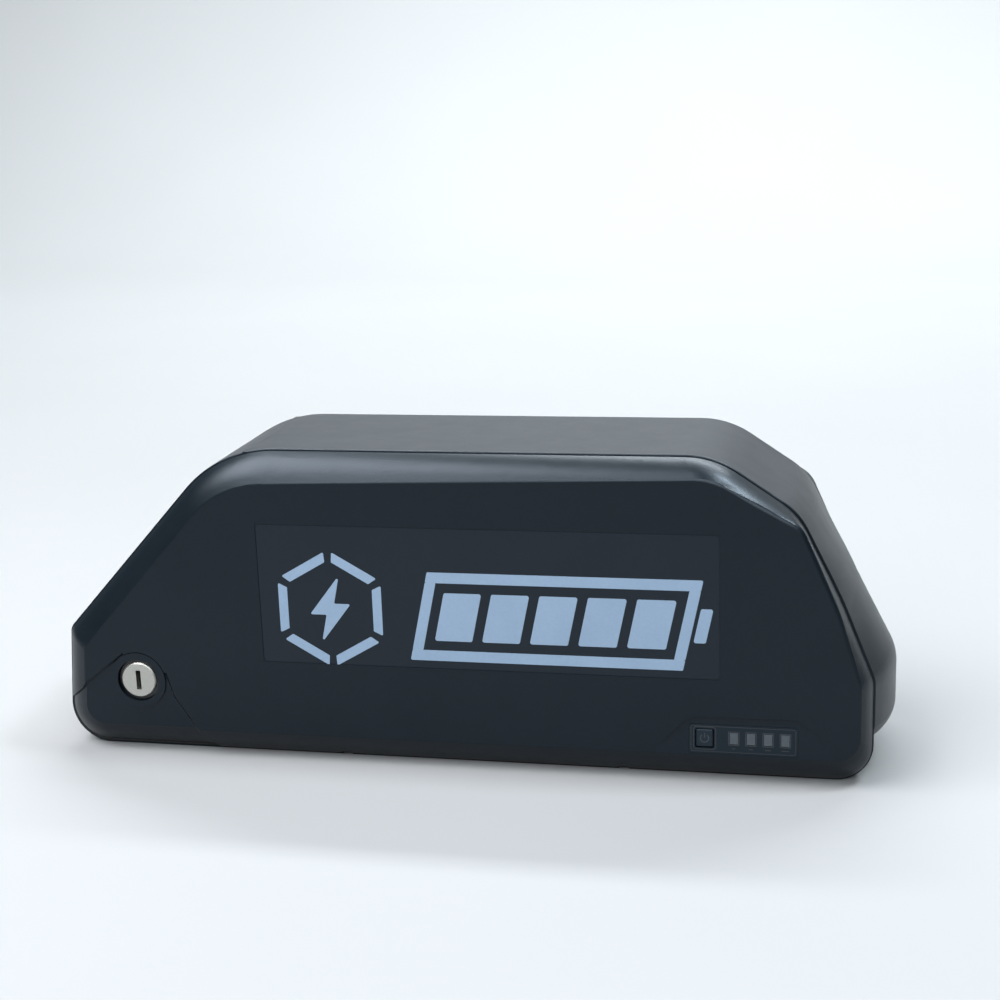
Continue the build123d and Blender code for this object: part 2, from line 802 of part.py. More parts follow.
def strip(columns, y):
    """Nickel strip that joins every cell of the given columns."""
    with BuildSketch(Plane.XZ.offset(-y)) as outline:
        for column in columns:
            for row in range(cell_rows - 1):
                x0, z0 = cell_place(column, row)
                x1, z1 = cell_place(column, row + 1)
                angle = math.degrees(math.atan2(z1 - z0, x1 - x0))
                with Locations(((x0 + x1) / 2, (z0 + z1) / 2)):
                    SlotCenterToCenter(cell_pitch, strip_width, rotation=angle)
        if len(columns) == 2:
            for row in range(cell_rows):
                x0, z0 = cell_place(columns[0], row)
                with Locations((x0 + cell_pitch / 2, z0)):
                    SlotCenterToCenter(cell_pitch, strip_width)
        else:
            x0, z0 = cell_place(columns[0], cell_rows - 1)
            with Locations((x0 - 5, z0 + 7.5)):
                Rectangle(7.0, 15.0)
    return outline.sketch


near_pairs = [[0, 1], [2, 3], [4, 5], [6, 7], [8, 9], [10, 11], [12]]
far_pairs = [[0], [1, 2], [3, 4], [5, 6], [7, 8], [9, 10], [11, 12]]
with BuildPart() as nickel_strips_near:
    for pair in near_pairs:
        extrude(strip(pair, -cell_length / 2), amount=strip_thickness)
save(nickel_strips_near, "nickel_strips_near")
with BuildPart() as nickel_strips_far:
    for pair in far_pairs:
        extrude(strip(pair, cell_length / 2 + strip_thickness), amount=strip_thickness)
save(nickel_strips_far, "nickel_strips_far")

sheet_corners = [(-114, 15.6), (-114, 103.5), (133, 103.5), (146.4, 76), (146.4, 15.6)]
sheet_round = 5.0
for name, back_y in [("insulation_near", -sheet_y), ("insulation_far", sheet_y + sheet_thickness)]:
    with BuildPart() as sheet:
        with BuildSketch(Plane.XZ.offset(-back_y)):
            with BuildLine():
                FilletPolyline(*sheet_corners, radius=sheet_round, close=True)
            make_face()
        extrude(amount=sheet_thickness)
    save(sheet, name)

with BuildPart() as floor_pad:
    block(-108, -31, floor_z, 130, 31, floor_z + 0.6)
save(floor_pad, "floor_pad")

with BuildPart() as foam_block:
    with BuildSketch(Plane.XZ.offset(30)):
        with BuildLine():
            Polyline((-116.5, 48), (-131, 48), (-131, 75), (-116.5, 91), close=True)
        make_face()
    extrude(amount=-60)
    fillet(foam_block.edges().filter_by(Axis.Y), radius=1.5)
save(foam_block, "foam_block")

# ---------------------------------------------------------------- battery management board
tray_z = 105.0
tray_top_z = tray_z + 1.8
bms_z = 109.6
bms_thickness = 1.6
bms_left = 18.0
bms_right = 104.0
bms_half = 26.0
part_z = bms_z + bms_thickness   # top of the board, where its parts stand
bms_posts = [(bms_left + 5, -21), (bms_left + 5, 21), (bms_right - 14, -21), (bms_right - 14, 21)]
with BuildPart() as bms_tray:
    block(bms_left - 4, -bms_half - 4, tray_z, bms_right + 4, bms_half + 4, tray_top_z)
    fillet(bms_tray.edges().filter_by(Axis.Z), radius=3.0)
    for x, y in bms_posts:
        post(x, y, 2.8, tray_top_z, bms_z)
        post(x, y, 1.1, tray_z + 0.6, bms_z + 1, Mode.SUBTRACT)
save(bms_tray, "bms_tray")

with BuildPart() as bms_board:
    block(bms_left, -bms_half, bms_z, bms_right, bms_half, part_z)
    fillet(bms_board.edges().filter_by(Axis.Z), radius=2.0)
    for x, y in bms_posts:
        post(x, y, 1.4, bms_z - 1, bms_z + 3, Mode.SUBTRACT)
save(bms_board, "bms_board")

with BuildPart() as bms_screws:
    for x, y in bms_posts:
        post(x, y, 1.1, tray_z + 1.2, part_z)
        post(x, y, 2.2, part_z, part_z + 1.6)
        block(x - 1.6, y - 0.3, part_z + 0.8, x + 1.6, y + 0.3, part_z + 2, Mode.SUBTRACT)
save(bms_screws, "bms_screws")

sink_left = 30.0
sink_right = 82.0
sink_front_y = -25.0
sink_back_y = -15.0
fin_count = 9
fin_pitch = 6.0
fin_thickness = 1.6
with BuildPart() as heat_sink_bar:
    block(sink_left, sink_front_y, part_z + 1.6, sink_right, sink_back_y, part_z + 4.0)
    for index in range(fin_count):
        x = sink_left + 1 + index * fin_pitch
        block(x, sink_front_y, part_z + 4.0, x + fin_thickness, sink_back_y, part_z + 7.0)
    block(sink_left + 2, sink_front_y + 3, part_z, sink_right - 2, sink_back_y - 3, part_z + 1.6)
save(heat_sink_bar, "heat_sink_bar")

with BuildPart() as bms_switches:
    for index in range(6):
        x = 33 + index * 8
        block(x, -13.5, part_z, x + 6, -5.5, part_z + 2.2)
    for index in range(3):
        post(38 + index * 14, 6, 3.2, part_z, part_z + 6.5)
save(bms_switches, "bms_switches")

with BuildPart() as bms_connector:
    block(30, 20, part_z, 76, 25.5, part_z + 5.5)
    for index in range(14):
        x = 32.2 + index * 3.1
        block(x, 21.2, part_z + 1.5, x + 1.6, 24.3, part_z + 6, Mode.SUBTRACT)
    block(96.5, -25.5, part_z, 102.5, -21, part_z + 3)
save(bms_connector, "bms_connector")

with BuildPart() as bms_terminals:
    for x, y in [(bms_left + 1, 12), (bms_right - 6, 12), (bms_right - 6, 2)]:
        block(x, y - 3, part_z, x + 5, y + 3, part_z + 3.2)
save(bms_terminals, "bms_terminals")

# ---------------------------------------------------------------- underside
with BuildPart() as rail_plate:
    block(-122, -24.6, plate_low_z, 126, 24.6, channel_depth)
    fillet(rail_plate.edges().filter_by(Axis.Z), radius=3.0)
    with BuildSketch(Plane.XY.offset(plate_low_z - 1)):
        for x in lug_x:
            with Locations((x, 0)):
                Circle(keyhole_radius)
            with Locations((x + keyhole_run / 2, 0)):
                SlotCenterToCenter(keyhole_run, 2 * keyhole_slot)
    extrude(amount=4, mode=Mode.SUBTRACT)
    for x in rail_screw_x:
        for y in rail_screw_y:
            with Locations(Location((x, y, plate_low_z), (180, 0, 0))):
                CounterSinkHole(1.7, 3.1, 4)
save(rail_plate, "rail_plate")

with BuildPart() as rail_screws:
    for x in rail_screw_x:
        for y in rail_screw_y:
            post(x, y, 1.3, plate_low_z + 0.3, channel_depth + 3.6)
            with Locations((x, y, plate_low_z + 0.1 + 0.6)):
                Cone(2.9, 1.4, 1.2)
save(rail_screws, "rail_screws")

socket_left = 129.0
socket_right = 146.0
with BuildPart() as discharge_socket:
    block(socket_left, -20, 1.2, socket_right, 20, channel_depth)
    fillet(discharge_socket.edges().filter_by(Axis.X), radius=1.0)
    for y in [-12, 12]:
        block(socket_left - 1, y - 4.2, 3.2, socket_left + 12, y + 4.2, 7.2, Mode.SUBTRACT)
        block(socket_left + 11, y - 3.2, 4.7, socket_right + 1, y + 3.2, 5.7, Mode.SUBTRACT)
    for index in range(4):
        y = -4.5 + index * 3
        block(socket_left - 1, y - 0.9, 3.9, socket_left + 12, y + 0.9, 6.5, Mode.SUBTRACT)
        block(socket_left + 11, y - 0.5, 4.8, socket_right + 1, y + 0.5, 5.6, Mode.SUBTRACT)
save(discharge_socket, "discharge_socket")

with BuildPart() as power_contacts:
    for y in [-12, 12]:
        block(socket_left + 1.5, y - 3.1, 4.8, 153.6, y + 3.1, 5.6)
save(power_contacts, "power_contacts")

with BuildPart() as signal_pins:
    for index in range(4):
        y = -4.5 + index * 3
        block(socket_left + 2, y - 0.4, 4.9, socket_right + 2.5, y + 0.4, 5.5)
save(signal_pins, "signal_pins")

# ---------------------------------------------------------------- charge socket
with BuildPart() as charge_socket:
    rod(charge_x, charge_z, 5.2, charge_seat_y, charge_seat_y + 0.6)
    rod(charge_x, charge_z, charge_sleeve_radius, 35.4, charge_seat_y)
    rod(charge_x, charge_z, 2.85, 37.0, 45.0, Mode.SUBTRACT)
    rod(charge_x, charge_z, 1.0, 36.5, 42.6)
save(charge_socket, "charge_socket")

with BuildPart() as charge_socket_nut:
    with BuildSketch(Plane.XZ.offset(-charge_back_y)):
        with Locations((charge_x, charge_z)):
            RegularPolygon(5.9, 6)
            Circle(charge_sleeve_radius, mode=Mode.SUBTRACT)
    extrude(amount=2.0)
save(charge_socket_nut, "charge_socket_nut")

with BuildPart() as charge_cap:
    rod(charge_x, charge_z, 8.2, charge_seat_y + 1, 45.9)
    rod(charge_x, charge_z, 2.4, 43.4, charge_seat_y + 1)
    block(charge_x + 6, charge_seat_y + 1, charge_z - 2.8, charge_x + cap_pivot_dx, 45.8, charge_z + 2.8)
    post(charge_x + cap_pivot_dx, cap_pivot_y, 0.9, charge_z - 2.8, charge_z + 2.8)
save(charge_cap, "charge_cap")

with BuildPart() as cap_anchor:
    block(charge_x + 11.0, charge_seat_y, charge_z - 3.4, charge_x + 15.6, 45.3, charge_z + 3.4)
    post(charge_x + cap_pivot_dx, cap_pivot_y, 1.25, charge_z - 4, charge_z + 4, Mode.SUBTRACT)
    rod(charge_x + cap_anchor_dx, charge_z, 1.2, 39.6, charge_seat_y)
save(cap_anchor, "cap_anchor")


# ---------------------------------------------------------------- fuse, leads and ribbons
def lead(points, radius, bend):
    """Round insulated lead along straight runs joined by arcs."""
    with BuildPart() as body:
        with BuildLine() as route:
            FilletPolyline(*points, radius=bend)
        with BuildSketch(Plane(origin=route.line @ 0, z_dir=route.line % 0)):
            Circle(radius)
        sweep(path=route.line)
    return body


lead_z = part_z + 2.0
with BuildPart() as main_fuse:
    block(112, -32.5, 105.6, 127, -26.5, 111.4)
    fillet(main_fuse.edges().filter_by(Axis.X), radius=1.0)
save(main_fuse, "main_fuse")

lead_positive = lead(
    [
        (127, -29.5, 108.5),
        (132.5, -29.5, 108.5),
        (134, -37.6, 107),
        (138.5, -38.6, 97),
        (145.2, -38.6, 78),
        (145.2, -38.6, 42),
        (151.9, -31, 31),
        (151.9, -12, 25),
        (151.9, -12, 5.6),
    ],
    1.7,
    2.5,
)
save(lead_positive, "lead_positive")

lead_output = lead(
    [
        (bms_right - 1, 2, lead_z),
        (112, 2, lead_z),
        (129, 37.4, 107.5),
        (138.5, 38.6, 97),
        (145.2, 38.6, 78),
        (145.2, 38.6, 50),
        (151.9, 31, 38),
        (151.9, 12, 25),
        (151.9, 12, 5.6),
    ],
    1.7,
    4.0,
)
save(lead_output, "lead_output")

lead_charge = lead(
    [
        (bms_right - 1, 12, lead_z),
        (108.5, 12, lead_z),
        (110.5, 36.4, 109.5),
        (113, 38.3, 98),
        (120, 38.3, 60),
        (charge_x, 37.3, 48),
        (charge_x, 37.2, 36.1),
    ],
    1.3,
    2.5,
)
save(lead_charge, "lead_charge")

lead_negative = lead(
    [
        (-109, 32.4, 106.9),
        (-109, 24, 106.7),
        (-100, 14, 104.7),
        (-70, 11, 104.5),
        (-4, 11, 104.7),
        (9, 12, lead_z),
        (bms_left + 1, 12, lead_z),
    ],
    1.6,
    3.0,
)
save(lead_negative, "lead_negative")

with BuildPart() as sense_ribbon:
    with BuildSketch(Plane.XZ.offset(-25.3)):
        with BuildLine():
            Polyline((-84, 105.3), (4, 105.3), (12, 112), (16, 114.3), (30, 114.3))
        trace(line_width=0.6)
    extrude(amount=5.1)
save(sense_ribbon, "sense_ribbon")

with BuildPart() as indicator_ribbon:
    with BuildSketch(Plane.YZ.offset(97)):
        with BuildLine():
            Polyline((-35.9, 26.6), (-35.9, 108.5), (-31, 112.7), (-25.6, 112.7))
        trace(line_width=0.6)
    extrude(amount=5)
save(indicator_ribbon, "indicator_ribbon")
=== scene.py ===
import json
import math

import bmesh
import bpy
from mathutils import Matrix, Vector


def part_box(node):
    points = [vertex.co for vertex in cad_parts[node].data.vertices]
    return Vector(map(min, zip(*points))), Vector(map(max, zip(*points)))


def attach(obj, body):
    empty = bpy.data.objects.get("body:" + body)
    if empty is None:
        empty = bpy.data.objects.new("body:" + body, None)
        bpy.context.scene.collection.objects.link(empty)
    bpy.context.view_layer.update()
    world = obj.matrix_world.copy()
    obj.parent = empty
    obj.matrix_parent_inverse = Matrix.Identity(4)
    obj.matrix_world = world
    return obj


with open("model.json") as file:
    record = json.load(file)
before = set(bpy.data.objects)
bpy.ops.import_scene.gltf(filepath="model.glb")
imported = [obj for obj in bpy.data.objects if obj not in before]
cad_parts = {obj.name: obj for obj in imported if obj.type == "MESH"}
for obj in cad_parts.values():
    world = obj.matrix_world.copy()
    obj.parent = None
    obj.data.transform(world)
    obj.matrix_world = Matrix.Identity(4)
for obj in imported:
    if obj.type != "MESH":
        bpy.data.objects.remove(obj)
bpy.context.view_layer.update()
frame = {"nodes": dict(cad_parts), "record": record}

# A removable e-bike battery pack in a plain pale studio. Metres, X along the pack, near face at -Y, Z up.
scene = bpy.context.scene
MM = 0.001
RING_FREQUENCY = 16000    # lathe rings on the lock, in radians per metre of radius


# ---------------------------------------------------------------- small node toolkit
class Shader:
    """A node material with short helpers for its textures."""

    def __init__(self, name):
        self.material = bpy.data.materials.new(name)
        self.material.use_nodes = True
        self.nodes = self.material.node_tree.nodes
        self.links = self.material.node_tree.links
        self.bsdf = self.nodes["Principled BSDF"]
        self.point = self.nodes.new("ShaderNodeTexCoord").outputs["Object"]

    def set(self, **values):
        for key, value in values.items():
            self.bsdf.inputs[key.replace("_", " ")].default_value = value

    def stretched(self, x, y, z):
        node = self.nodes.new("ShaderNodeMapping")
        node.inputs["Scale"].default_value = (x, y, z)
        self.links.new(self.point, node.inputs["Vector"])
        return node.outputs["Vector"]

    def noise(self, scale, detail=2.0, rough=0.5, vector=None):
        node = self.nodes.new("ShaderNodeTexNoise")
        node.inputs["Scale"].default_value = scale
        node.inputs["Detail"].default_value = detail
        node.inputs["Roughness"].default_value = rough
        self.links.new(vector or self.point, node.inputs["Vector"])
        return node.outputs["Fac"]

    def cells(self, scale, vector=None):
        node = self.nodes.new("ShaderNodeTexVoronoi")
        node.inputs["Scale"].default_value = scale
        self.links.new(vector or self.point, node.inputs["Vector"])
        return node.outputs["Distance"]

    def spread(self, value, low, high, out_low=0.0, out_high=1.0):
        node = self.nodes.new("ShaderNodeMapRange")
        node.inputs["From Min"].default_value = low
        node.inputs["From Max"].default_value = high
        node.inputs["To Min"].default_value = out_low
        node.inputs["To Max"].default_value = out_high
        self.links.new(value, node.inputs["Value"])
        return node.outputs["Result"]

    def math(self, kind, a, b):
        node = self.nodes.new("ShaderNodeMath")
        node.operation = kind
        for socket, value in zip(node.inputs, (a, b)):
            if isinstance(value, (int, float)):
                socket.default_value = value
            else:
                self.links.new(value, socket)
        return node.outputs["Value"]

    def colours(self, value, low, high):
        node = self.nodes.new("ShaderNodeMix")
        node.data_type = "RGBA"
        node.inputs["A"].default_value = (*low, 1)
        node.inputs["B"].default_value = (*high, 1)
        self.links.new(value, node.inputs["Factor"])
        return node.outputs["Result"]

    def bump(self, height, strength, distance):
        node = self.nodes.new("ShaderNodeBump")
        node.inputs["Strength"].default_value = strength
        node.inputs["Distance"].default_value = distance
        self.links.new(height, node.inputs["Height"])
        self.links.new(node.outputs["Normal"], self.bsdf.inputs["Normal"])

    def feed(self, socket, value):
        self.links.new(value, self.bsdf.inputs[socket])


def moulded(
    name, dark, light, rough=(0.42, 0.52), grain=1500, depth=0.00003,
    specular=0.5, scuff=0.0, tint=(1, 1, 1),
):
    """Moulded plastic or rubber with a spark-eroded grain and slow changes of tone and gloss."""
    shader = Shader(name)
    slow = shader.noise(22, 3)
    shader.feed("Base Color", shader.colours(shader.spread(slow, 0.3, 0.7), dark, light))
    gloss = shader.spread(shader.noise(70, 4, 0.6), 0.3, 0.7, rough[0], rough[1])
    if scuff:
        rubbed = shader.spread(shader.noise(9, 5, 0.65, shader.stretched(1, 1, 6)), 0.6, 0.75)
        gloss = shader.math("SUBTRACT", gloss, shader.math("MULTIPLY", rubbed, scuff))
    shader.feed("Roughness", gloss)
    height = shader.math("ADD", shader.noise(grain, 2, 0.6), shader.cells(grain * 0.7))
    shader.bump(height, 0.5, depth)
    shader.set(Specular_IOR_Level=specular, Specular_Tint=(*tint, 1))
    return shader.material


def metal(name, dark, light, rough=(0.25, 0.4), along=(1, 1, 40), depth=0.00001):
    """Metal with fine drawn or ground lines."""
    shader = Shader(name)
    lines = shader.noise(260, 3, 0.6, shader.stretched(*along))
    shader.feed("Base Color", shader.colours(shader.spread(lines, 0.3, 0.7), dark, light))
    shader.feed("Roughness", shader.spread(lines, 0.25, 0.75, rough[0], rough[1]))
    shader.bump(lines, 0.4, depth)
    shader.set(Metallic=1.0)
    return shader.material


def turned(name, centre, dark, light):
    """Lathe-turned metal face: fine rings about an axis along Y."""
    shader = Shader(name)
    shift = shader.nodes.new("ShaderNodeMapping")
    shift.inputs["Location"].default_value = (-centre[0], 0, -centre[1])
    shader.links.new(shader.point, shift.inputs["Vector"])
    flat = shader.nodes.new("ShaderNodeVectorMath")
    flat.operation = "MULTIPLY"
    flat.inputs[1].default_value = (1, 0, 1)
    shader.links.new(shift.outputs["Vector"], flat.inputs[0])
    radius = shader.nodes.new("ShaderNodeVectorMath")
    radius.operation = "LENGTH"
    shader.links.new(flat.outputs["Vector"], radius.inputs[0])
    rings = shader.math("SINE", shader.math("MULTIPLY", radius.outputs["Value"], RING_FREQUENCY), 0)
    rings = shader.spread(rings, -1, 1)
    specks = shader.noise(900, 4, 0.7)
    tone = shader.spread(specks, 0.35, 0.65, 0.75, 1.0)
    shader.feed("Base Color", shader.colours(tone, dark, light))
    shader.feed("Roughness", shader.spread(specks, 0.3, 0.7, 0.36, 0.5))
    shader.bump(shader.math("ADD", rings, specks), 0.25, 0.000012)
    shader.set(Metallic=1.0)
    return shader.material


def clear(name, tint, rough, haze):
    """Milky clear plastic."""
    shader = Shader(name)
    cloud = shader.noise(400, 3)
    shader.feed("Base Color", shader.colours(cloud, [c * 0.9 for c in tint], tint))
    shader.feed("Roughness", shader.spread(cloud, 0.3, 0.7, rough, rough + 0.1))
    shader.bump(shader.noise(1200), 0.2, 0.00001)
    shader.set(Transmission_Weight=haze, IOR=1.5)
    return shader.material


def printed(name, dark, light, rough=0.32):
    """Solid printed ink with a faint mottled density."""
    shader = Shader(name)
    density = shader.math("ADD", shader.noise(900, 2), shader.noise(60, 3))
    shader.feed("Base Color", shader.colours(shader.spread(density, 0.7, 1.3), dark, light))
    shader.feed("Roughness", shader.spread(shader.noise(300, 3), 0.3, 0.7, rough, rough + 0.08))
    shader.bump(shader.noise(2500), 0.15, 0.00001)
    return shader.material


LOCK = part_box("lock_cylinder")
lock_centre = ((LOCK[0][0] + LOCK[1][0]) / 2, (LOCK[0][2] + LOCK[1][2]) / 2)
finishes = {
    "case_plastic": moulded(
        "case_plastic", (0.0010, 0.0028, 0.0048), (0.0016, 0.0038, 0.0060), (0.35, 0.39),
        specular=0.325, scuff=0.02, tint=(0.77, 0.88, 1.0),
    ),
    "seal_rubber": moulded("seal_rubber", (0.004, 0.0045, 0.005), (0.006, 0.0065, 0.007), (0.6, 0.75)),
    "screw_steel": metal("screw_steel", (0.30, 0.30, 0.31), (0.48, 0.48, 0.48)),
    "brass": metal("brass", (0.60, 0.42, 0.18), (0.78, 0.60, 0.30)),
    "lock_black": moulded("lock_black", (0.006, 0.006, 0.007), (0.01, 0.01, 0.011), (0.3, 0.42)),
    "lock_metal": turned("lock_metal", lock_centre, (0.32, 0.315, 0.29), (0.48, 0.475, 0.44)),
    "plain_steel": metal("plain_steel", (0.40, 0.40, 0.41), (0.56, 0.56, 0.57), along=(1, 30, 1)),
    "label_film": moulded(
        "label_film", (0.0012, 0.0036, 0.0060), (0.0018, 0.0046, 0.0075), (0.28, 0.34), 3000,
        0.00001, 0.36, tint=(0.74, 0.88, 1.0),
    ),
    "clear_plastic": clear("clear_plastic", (0.050, 0.062, 0.076), 0.3, 0.25),
    "button_rubber": moulded(
        "button_rubber", (0.0020, 0.0050, 0.0085), (0.0030, 0.0065, 0.0105), (0.5, 0.6),
        specular=0.34, tint=(0.74, 0.88, 1.0),
    ),
    "white_plastic": moulded("white_plastic", (0.66, 0.66, 0.63), (0.78, 0.78, 0.75), (0.4, 0.5), 900),
    "board_green": moulded(
        "board_green", (0.014, 0.09, 0.045), (0.02, 0.13, 0.06), (0.25, 0.35), 500, 0.00002,
    ),
    "lamp_resin": clear("lamp_resin", (0.85, 0.80, 0.50), 0.25, 0.3),
    "decal_film": moulded(
        "decal_film", (0.0028, 0.0048, 0.0074), (0.0034, 0.0056, 0.0084), (0.32, 0.38), 2400,
        0.00001, 0.36, tint=(0.79, 0.88, 1.0),
    ),
    "holder_plastic": moulded("holder_plastic", (0.03, 0.03, 0.033), (0.045, 0.045, 0.05)),
    "nickel": metal("nickel", (0.50, 0.48, 0.44), (0.66, 0.63, 0.58), along=(20, 1, 1)),
    "insulation_paper": moulded(
        "insulation_paper", (0.30, 0.36, 0.27), (0.42, 0.48, 0.38), (0.7, 0.85), 700,
    ),
    "foam": moulded("foam", (0.03, 0.03, 0.032), (0.07, 0.07, 0.074), (0.85, 0.95), 350, 0.0002),
    "aluminium": metal("aluminium", (0.66, 0.66, 0.68), (0.80, 0.80, 0.82), along=(30, 1, 1)),
    "chip_black": moulded("chip_black", (0.012, 0.012, 0.013), (0.02, 0.02, 0.022), (0.5, 0.6)),
    "socket_plastic": moulded(
        "socket_plastic", (0.008, 0.008, 0.009), (0.014, 0.014, 0.015), (0.35, 0.45),
    ),
    "socket_metal": metal("socket_metal", (0.45, 0.45, 0.45), (0.65, 0.65, 0.64)),
    "cap_rubber": moulded(
        "cap_rubber", (0.008, 0.009, 0.010), (0.013, 0.014, 0.016), (0.6, 0.75), 1200, 0.00005,
    ),
    "fuse_plastic": moulded("fuse_plastic", (0.55, 0.30, 0.03), (0.70, 0.40, 0.05), (0.25, 0.35)),
    "lead_red": moulded("lead_red", (0.35, 0.012, 0.010), (0.48, 0.02, 0.018), (0.45, 0.6), 700),
    "lead_black": moulded("lead_black", (0.010, 0.010, 0.011), (0.018, 0.018, 0.020), (0.45, 0.6), 700),
    "lead_grey": moulded("lead_grey", (0.12, 0.12, 0.125), (0.18, 0.18, 0.19), (0.45, 0.6), 700),
    "ribbon_white": moulded("ribbon_white", (0.60, 0.60, 0.57), (0.72, 0.72, 0.69), (0.4, 0.5), 600),
    "cell_wrap": moulded("cell_wrap", (0.02, 0.10, 0.28), (0.04, 0.15, 0.38), (0.2, 0.3), 300, 0.00002),
}
for part in frame["record"]["subparts"]:
    mesh = frame["nodes"][part["node"]].data
    mesh.materials.clear()
    mesh.materials.append(finishes[part["material_slot"]])


# ---------------------------------------------------------------- pieces made here
def finished(name, bm, body, material):
    """Turns a bmesh into a piece that rides on a body."""
    bmesh.ops.recalc_face_normals(bm, faces=bm.faces)
    mesh = bpy.data.meshes.new(name)
    bm.to_mesh(mesh)
    bm.free()
    piece = bpy.data.objects.new(name, mesh)
    scene.collection.objects.link(piece)
    mesh.materials.append(material)
    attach(piece, body)


def rounded(points, radius, steps=6):
    """Outline with each corner cut by an arc of the given radius."""
    result = []
    count = len(points)
    for index in range(count):
        corner = Vector(points[index])
        before = (Vector(points[index - 1]) - corner).normalized()
        after = (Vector(points[(index + 1) % count]) - corner).normalized()
        half = before.angle(after) / 2
        reach = radius / math.tan(half)
        centre = corner + (before + after).normalized() * radius / math.sin(half)
        start = corner + before * reach - centre
        turn = math.pi - 2 * half
        side = 1 if before.cross(after) < 0 else -1
        for step in range(steps + 1):
            angle = side * turn * step / steps
            spun = Vector((
                start.x * math.cos(angle) - start.y * math.sin(angle),
                start.x * math.sin(angle) + start.y * math.cos(angle),
            ))
            result.append(centre + spun)
    return result


def raised(bm, outline, place, thickness):
    """Adds a thin plate with the outline, in the plane given by a matrix."""
    low = [bm.verts.new(place @ Vector((p.x, p.y, 0))) for p in outline]
    high = [bm.verts.new(place @ Vector((p.x, p.y, thickness))) for p in outline]
    for index in range(len(outline)):
        after = (index + 1) % len(outline)
        bm.faces.new((low[index], low[after], high[after], high[index]))
    bm.faces.new(high)
    bm.faces.new(list(reversed(low)))


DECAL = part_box("side_decal")
PRINT_THICKNESS = 0.05 * MM
decal_plane = Matrix.Translation((0, DECAL[0][1], 0)) @ Matrix.Rotation(math.pi / 2, 4, "X")


def decal_print():
    """Generic print on the decal: a bolt in a broken hexagon, beside a slanted battery gauge."""
    bm = bmesh.new()

    def patch(points, radius):
        outline = rounded([(x * MM, z * MM) for x, z in points], radius * MM)
        raised(bm, outline, decal_plane, PRINT_THICKNESS)

    lean = 0.22
    low, high, stroke = 48.5, 87.0, 4.6
    left, right = -19.0, 95.0

    def leaning(x0, z0, x1, z1, radius):
        shift0, shift1 = (z0 - low) * lean, (z1 - low) * lean
        patch([(x0 + shift0, z0), (x1 + shift0, z0), (x1 + shift1, z1), (x0 + shift1, z1)], radius)

    leaning(left, low, right, low + stroke, 0.6)
    leaning(left, high - stroke, right, high, 0.6)
    leaning(left, low + stroke, left + stroke, high - stroke, 0.3)
    leaning(right - stroke, low + stroke, right, high - stroke, 0.3)
    leaning(right + 1.6, low + 12, right + 6.6, high - 12, 0.9)
    count, gap = 5, 4.2
    bar = (right - left - 2 * stroke - gap * (count + 1)) / count
    for index in range(count):
        x = left + stroke + gap + index * (bar + gap)
        leaning(x, low + stroke + gap, x + bar, high - stroke - gap, 0.9)
    middle_x, middle_z, outer, inner = -53.0, 69.5, 25.0, 20.6
    for index in range(6):
        first, last = math.radians(60 * index + 34), math.radians(60 * index + 86)
        side = [
            (middle_x + reach * math.cos(angle), middle_z + reach * math.sin(angle))
            for reach, angle in ((outer, first), (outer, last), (inner, last), (inner, first))
        ]
        patch(side, 0.5)
    bolt = [(4.5, 15), (-9, -2.5), (-1.8, -2.5), (-4.5, -15), (9, 2.5), (1.8, 2.5)]
    patch([(middle_x + x, middle_z + z) for x, z in bolt], 0.5)
    ink = printed("decal_ink", (0.162, 0.228, 0.316), (0.178, 0.248, 0.342))
    finished("decal_print", bm, "pack", ink)


decal_print()


def frame_line(bm, outer, inner, place, thickness):
    """Adds a thin closed band between two outlines with the same number of points."""
    count = len(outer)
    for index in range(count):
        after = (index + 1) % count
        side = [outer[index], outer[after], inner[after], inner[index]]
        low = [bm.verts.new(place @ Vector((p.x, p.y, 0))) for p in side]
        high = [bm.verts.new(place @ Vector((p.x, p.y, thickness))) for p in side]
        bm.faces.new(high)
        bm.faces.new((low[0], low[1], high[1], high[0]))
        bm.faces.new((low[2], low[3], high[3], high[2]))


def centred(x, z, width, height, radius):
    """Rounded rectangle outline about a point, in metres."""
    corners = [(-1, -1), (1, -1), (1, 1), (-1, 1)]
    return rounded([(x + sx * width / 2, z + sz * height / 2) for sx, sz in corners], radius)


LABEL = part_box("indicator_label")
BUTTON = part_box("power_button")
label_centre = (LABEL[0] + LABEL[1]) / 2
LABEL_FRONT = 0.15 * MM      # label and button faces, out from the label's centre
BUTTON_FRONT = 0.30 * MM
BUTTON_RISE = 0.25 * MM      # button centre above the label's centre
LABEL_PRINT_THICKNESS = 0.04 * MM
BUTTON_PRINT_THICKNESS = 0.03 * MM
LAMP_FIRST, LAMP_PITCH, LAMP_RISE, LAMP_COUNT = -3.8 * MM, 6.93 * MM, 0.55 * MM, 4
label_tilt = math.atan2(1.3, 17.2)


def label_plane(centre, rise):
    """Plane of the indicator label, moved out along its normal."""
    turn = Matrix.Rotation(math.pi / 2 - label_tilt, 4, "X")
    return Matrix.Translation(centre) @ turn @ Matrix.Translation((0, 0, rise))


